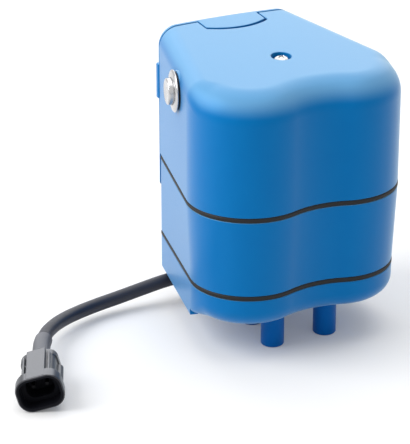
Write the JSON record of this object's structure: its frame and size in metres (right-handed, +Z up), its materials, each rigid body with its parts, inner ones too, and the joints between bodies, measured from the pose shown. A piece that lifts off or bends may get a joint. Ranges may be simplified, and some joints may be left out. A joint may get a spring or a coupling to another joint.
{
  "type": "milking pulsator",
  "caption": "Electronic milking pulsator: lobed blue housing in tiers, hose nipples underneath, metal push button, hinged filter door and a short lead with a sealed plug.",
  "frame": {"origin": "middle of the housing's box, on the plane of the port ends it stands on", "axes": "+Z up, -Y the lobed front, X across the two valves"},
  "size_m": [0.1928, 0.0949, 0.1324],
  "materials": {
    "housing_plastic": "satin moulded blue plastic",
    "port_plastic": "satin moulded deep blue plastic",
    "gasket_rubber": "matt black rubber",
    "valve_rubber": "matt black rubber",
    "bright_steel": "bright satin stainless steel",
    "magnet_steel": "zinc plated steel",
    "turned_brass": "turned brass",
    "copper_wire": "enamelled copper wire",
    "former_plastic": "natural nylon",
    "filter_foam": "open-cell foam",
    "board_laminate": "green laminate",
    "component_plastic": "moulded components",
    "cable_sheath": "satin dark sheath",
    "plug_plastic": "moulded black nylon",
    "boot_rubber": "matt black rubber"
  },
  "bodies": {
    "housing": {"top_cover": "housing_plastic", "middle_body": "housing_plastic", "base": "housing_plastic", "upper_gasket": "gasket_rubber", "lower_gasket": "gasket_rubber", "button_seal": "gasket_rubber", "cover_screw": "bright_steel", "base_screws": "bright_steel", "hinge_pin": "bright_steel", "button_bezel": "bright_steel", "cover_pillar": "turned_brass", "button_nut": "turned_brass", "button_switch": "component_plastic", "air_filter": "filter_foam", "circuit_board": "board_laminate", "board_parts": "component_plastic", "pulse_nipple_left": "port_plastic", "pulse_nipple_right": "port_plastic", "air_nipple": "port_plastic", "vacuum_inlet": "port_plastic", "cable_gland": "plug_plastic", "gland_nut": "plug_plastic", "cable": "cable_sheath", "plug_boot": "boot_rubber", "plug_shell": "plug_plastic", "plug_pins": "bright_steel", "left_valve_seat": "turned_brass", "left_return_spring": "bright_steel", "left_guide_tube": "turned_brass", "left_pole_core": "magnet_steel", "left_core_nut": "magnet_steel", "left_bobbin": "former_plastic", "left_winding": "copper_wire", "left_yoke": "magnet_steel", "right_valve_seat": "turned_brass", "right_return_spring": "bright_steel", "right_guide_tube": "turned_brass", "right_pole_core": "magnet_steel", "right_core_nut": "magnet_steel", "right_bobbin": "former_plastic", "right_winding": "copper_wire", "right_yoke": "magnet_steel"},
    "filter_door": {"filter_door": "housing_plastic"},
    "push_button": {"button_cap": "bright_steel"},
    "left_armature": {"left_plunger": "magnet_steel", "left_valve_disc": "valve_rubber"},
    "right_armature": {"right_plunger": "magnet_steel", "right_valve_disc": "valve_rubber"}
  },
  "joints": [
    {"name": "filter_door_hinge", "type": "hinge", "parent": "housing", "child": "filter_door", "pos_m": [0, 0.04565, 0.0563], "axis": [-1, 0, 0], "range_deg": [0, 95]},
    {"name": "button_press", "type": "slide", "parent": "housing", "child": "push_button", "axis": [0.9681, -0.2505, 0], "range_m": [0, 0.002], "stiffness_N_per_m": 600},
    {"name": "left_plunger_lift", "type": "slide", "parent": "housing", "child": "left_armature", "axis": [0, 0, 1], "range_m": [0, 0.0025], "stiffness_N_per_m": 300, "springref_m": -0.003, "deforming": ["left_return_spring"]},
    {"name": "right_plunger_lift", "type": "slide", "parent": "housing", "child": "right_armature", "axis": [0, 0, 1], "range_m": [0, 0.0025], "stiffness_N_per_m": 300, "springref_m": -0.003, "deforming": ["right_return_spring"]}
  ]
}
